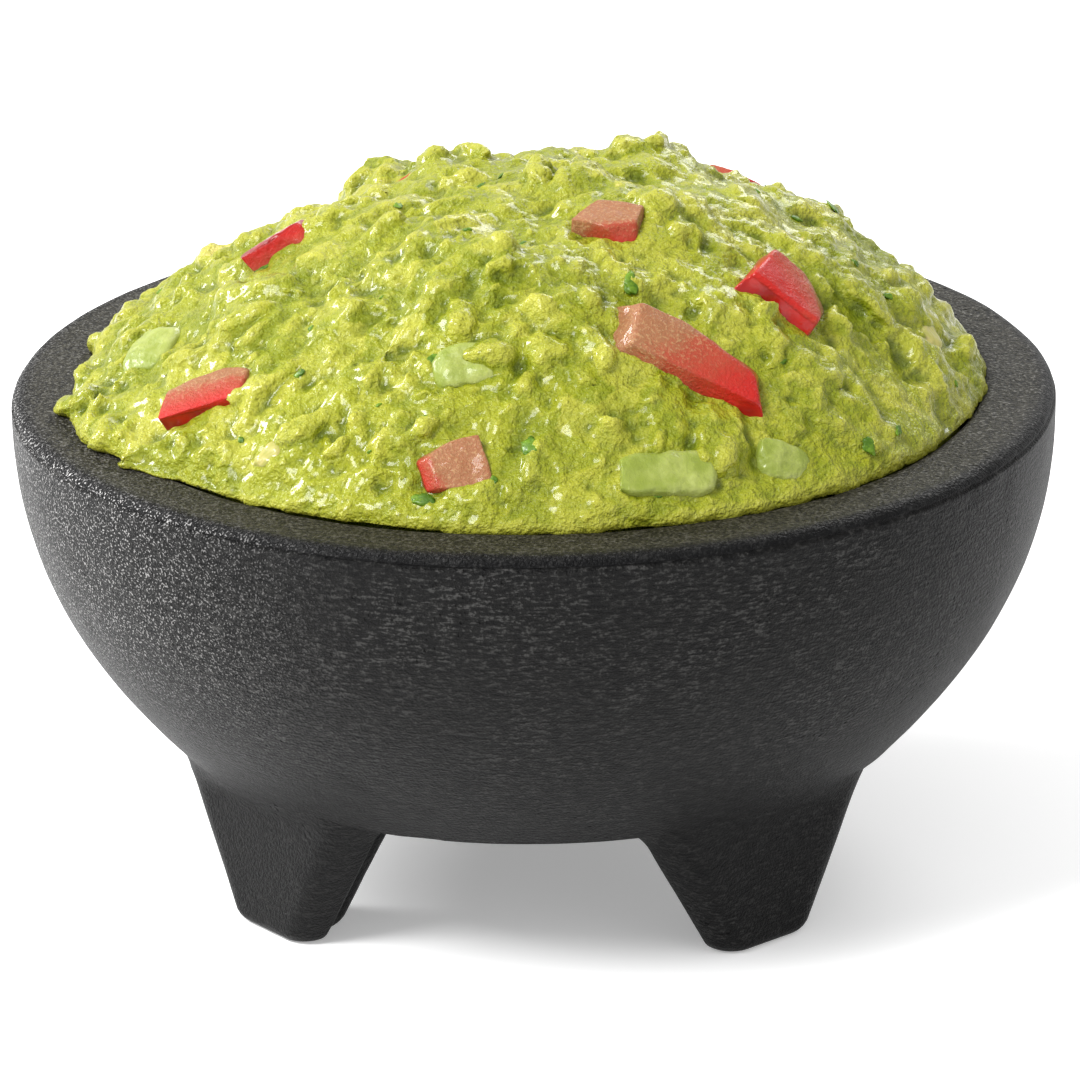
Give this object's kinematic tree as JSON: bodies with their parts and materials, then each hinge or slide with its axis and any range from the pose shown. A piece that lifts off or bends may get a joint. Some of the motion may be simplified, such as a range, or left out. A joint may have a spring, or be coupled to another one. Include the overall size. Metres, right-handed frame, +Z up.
{
  "type": "molcajete",
  "caption": "Round thick-walled mortar-shaped serving bowl on tapered feet, heaped with guacamole that holds diced tomato, avocado and onion.",
  "frame": {"origin": "on the table, under the bowl's axis", "axes": "+Z up along the bowl's axis, -Y towards the front where two feet show, +X to the right"},
  "size_m": [0.204, 0.204, 0.1415],
  "materials": {
    "faux_stone": "matte charcoal with fine scratches and pits, like ground basalt",
    "avocado_mash": "moist lumpy yellow-green mash with small wet glints",
    "tomato": "wet red skin with paler flesh on the cut faces",
    "avocado": "smooth moist pale green flesh",
    "onion": "moist translucent cream"
  },
  "bodies": {
    "vessel": {"bowl": "faux_stone", "foot_front_left": "faux_stone", "foot_front_right": "faux_stone", "foot_rear": "faux_stone"},
    "serving": {"guacamole": "avocado_mash", "tomato_left": "tomato", "tomato_back_left": "tomato", "tomato_front": "tomato", "tomato_large": "tomato", "tomato_right": "tomato", "tomato_upper": "tomato", "tomato_crest": "tomato", "tomato_rear": "tomato", "tomato_rear_left": "tomato", "tomato_rear_right": "tomato", "tomato_far_right": "tomato", "avocado_front": "avocado", "avocado_front_right": "avocado", "avocado_middle": "avocado", "avocado_left": "avocado", "avocado_rear": "avocado", "avocado_rear_right": "avocado", "onion_left": "onion", "onion_right": "onion", "onion_rear": "onion"}
  },
  "joints": [
    {"name": "serving_lift", "type": "slide", "parent": "vessel", "child": "serving", "axis": [0, 0, 1], "range_m": [0, 0.1]}
  ]
}
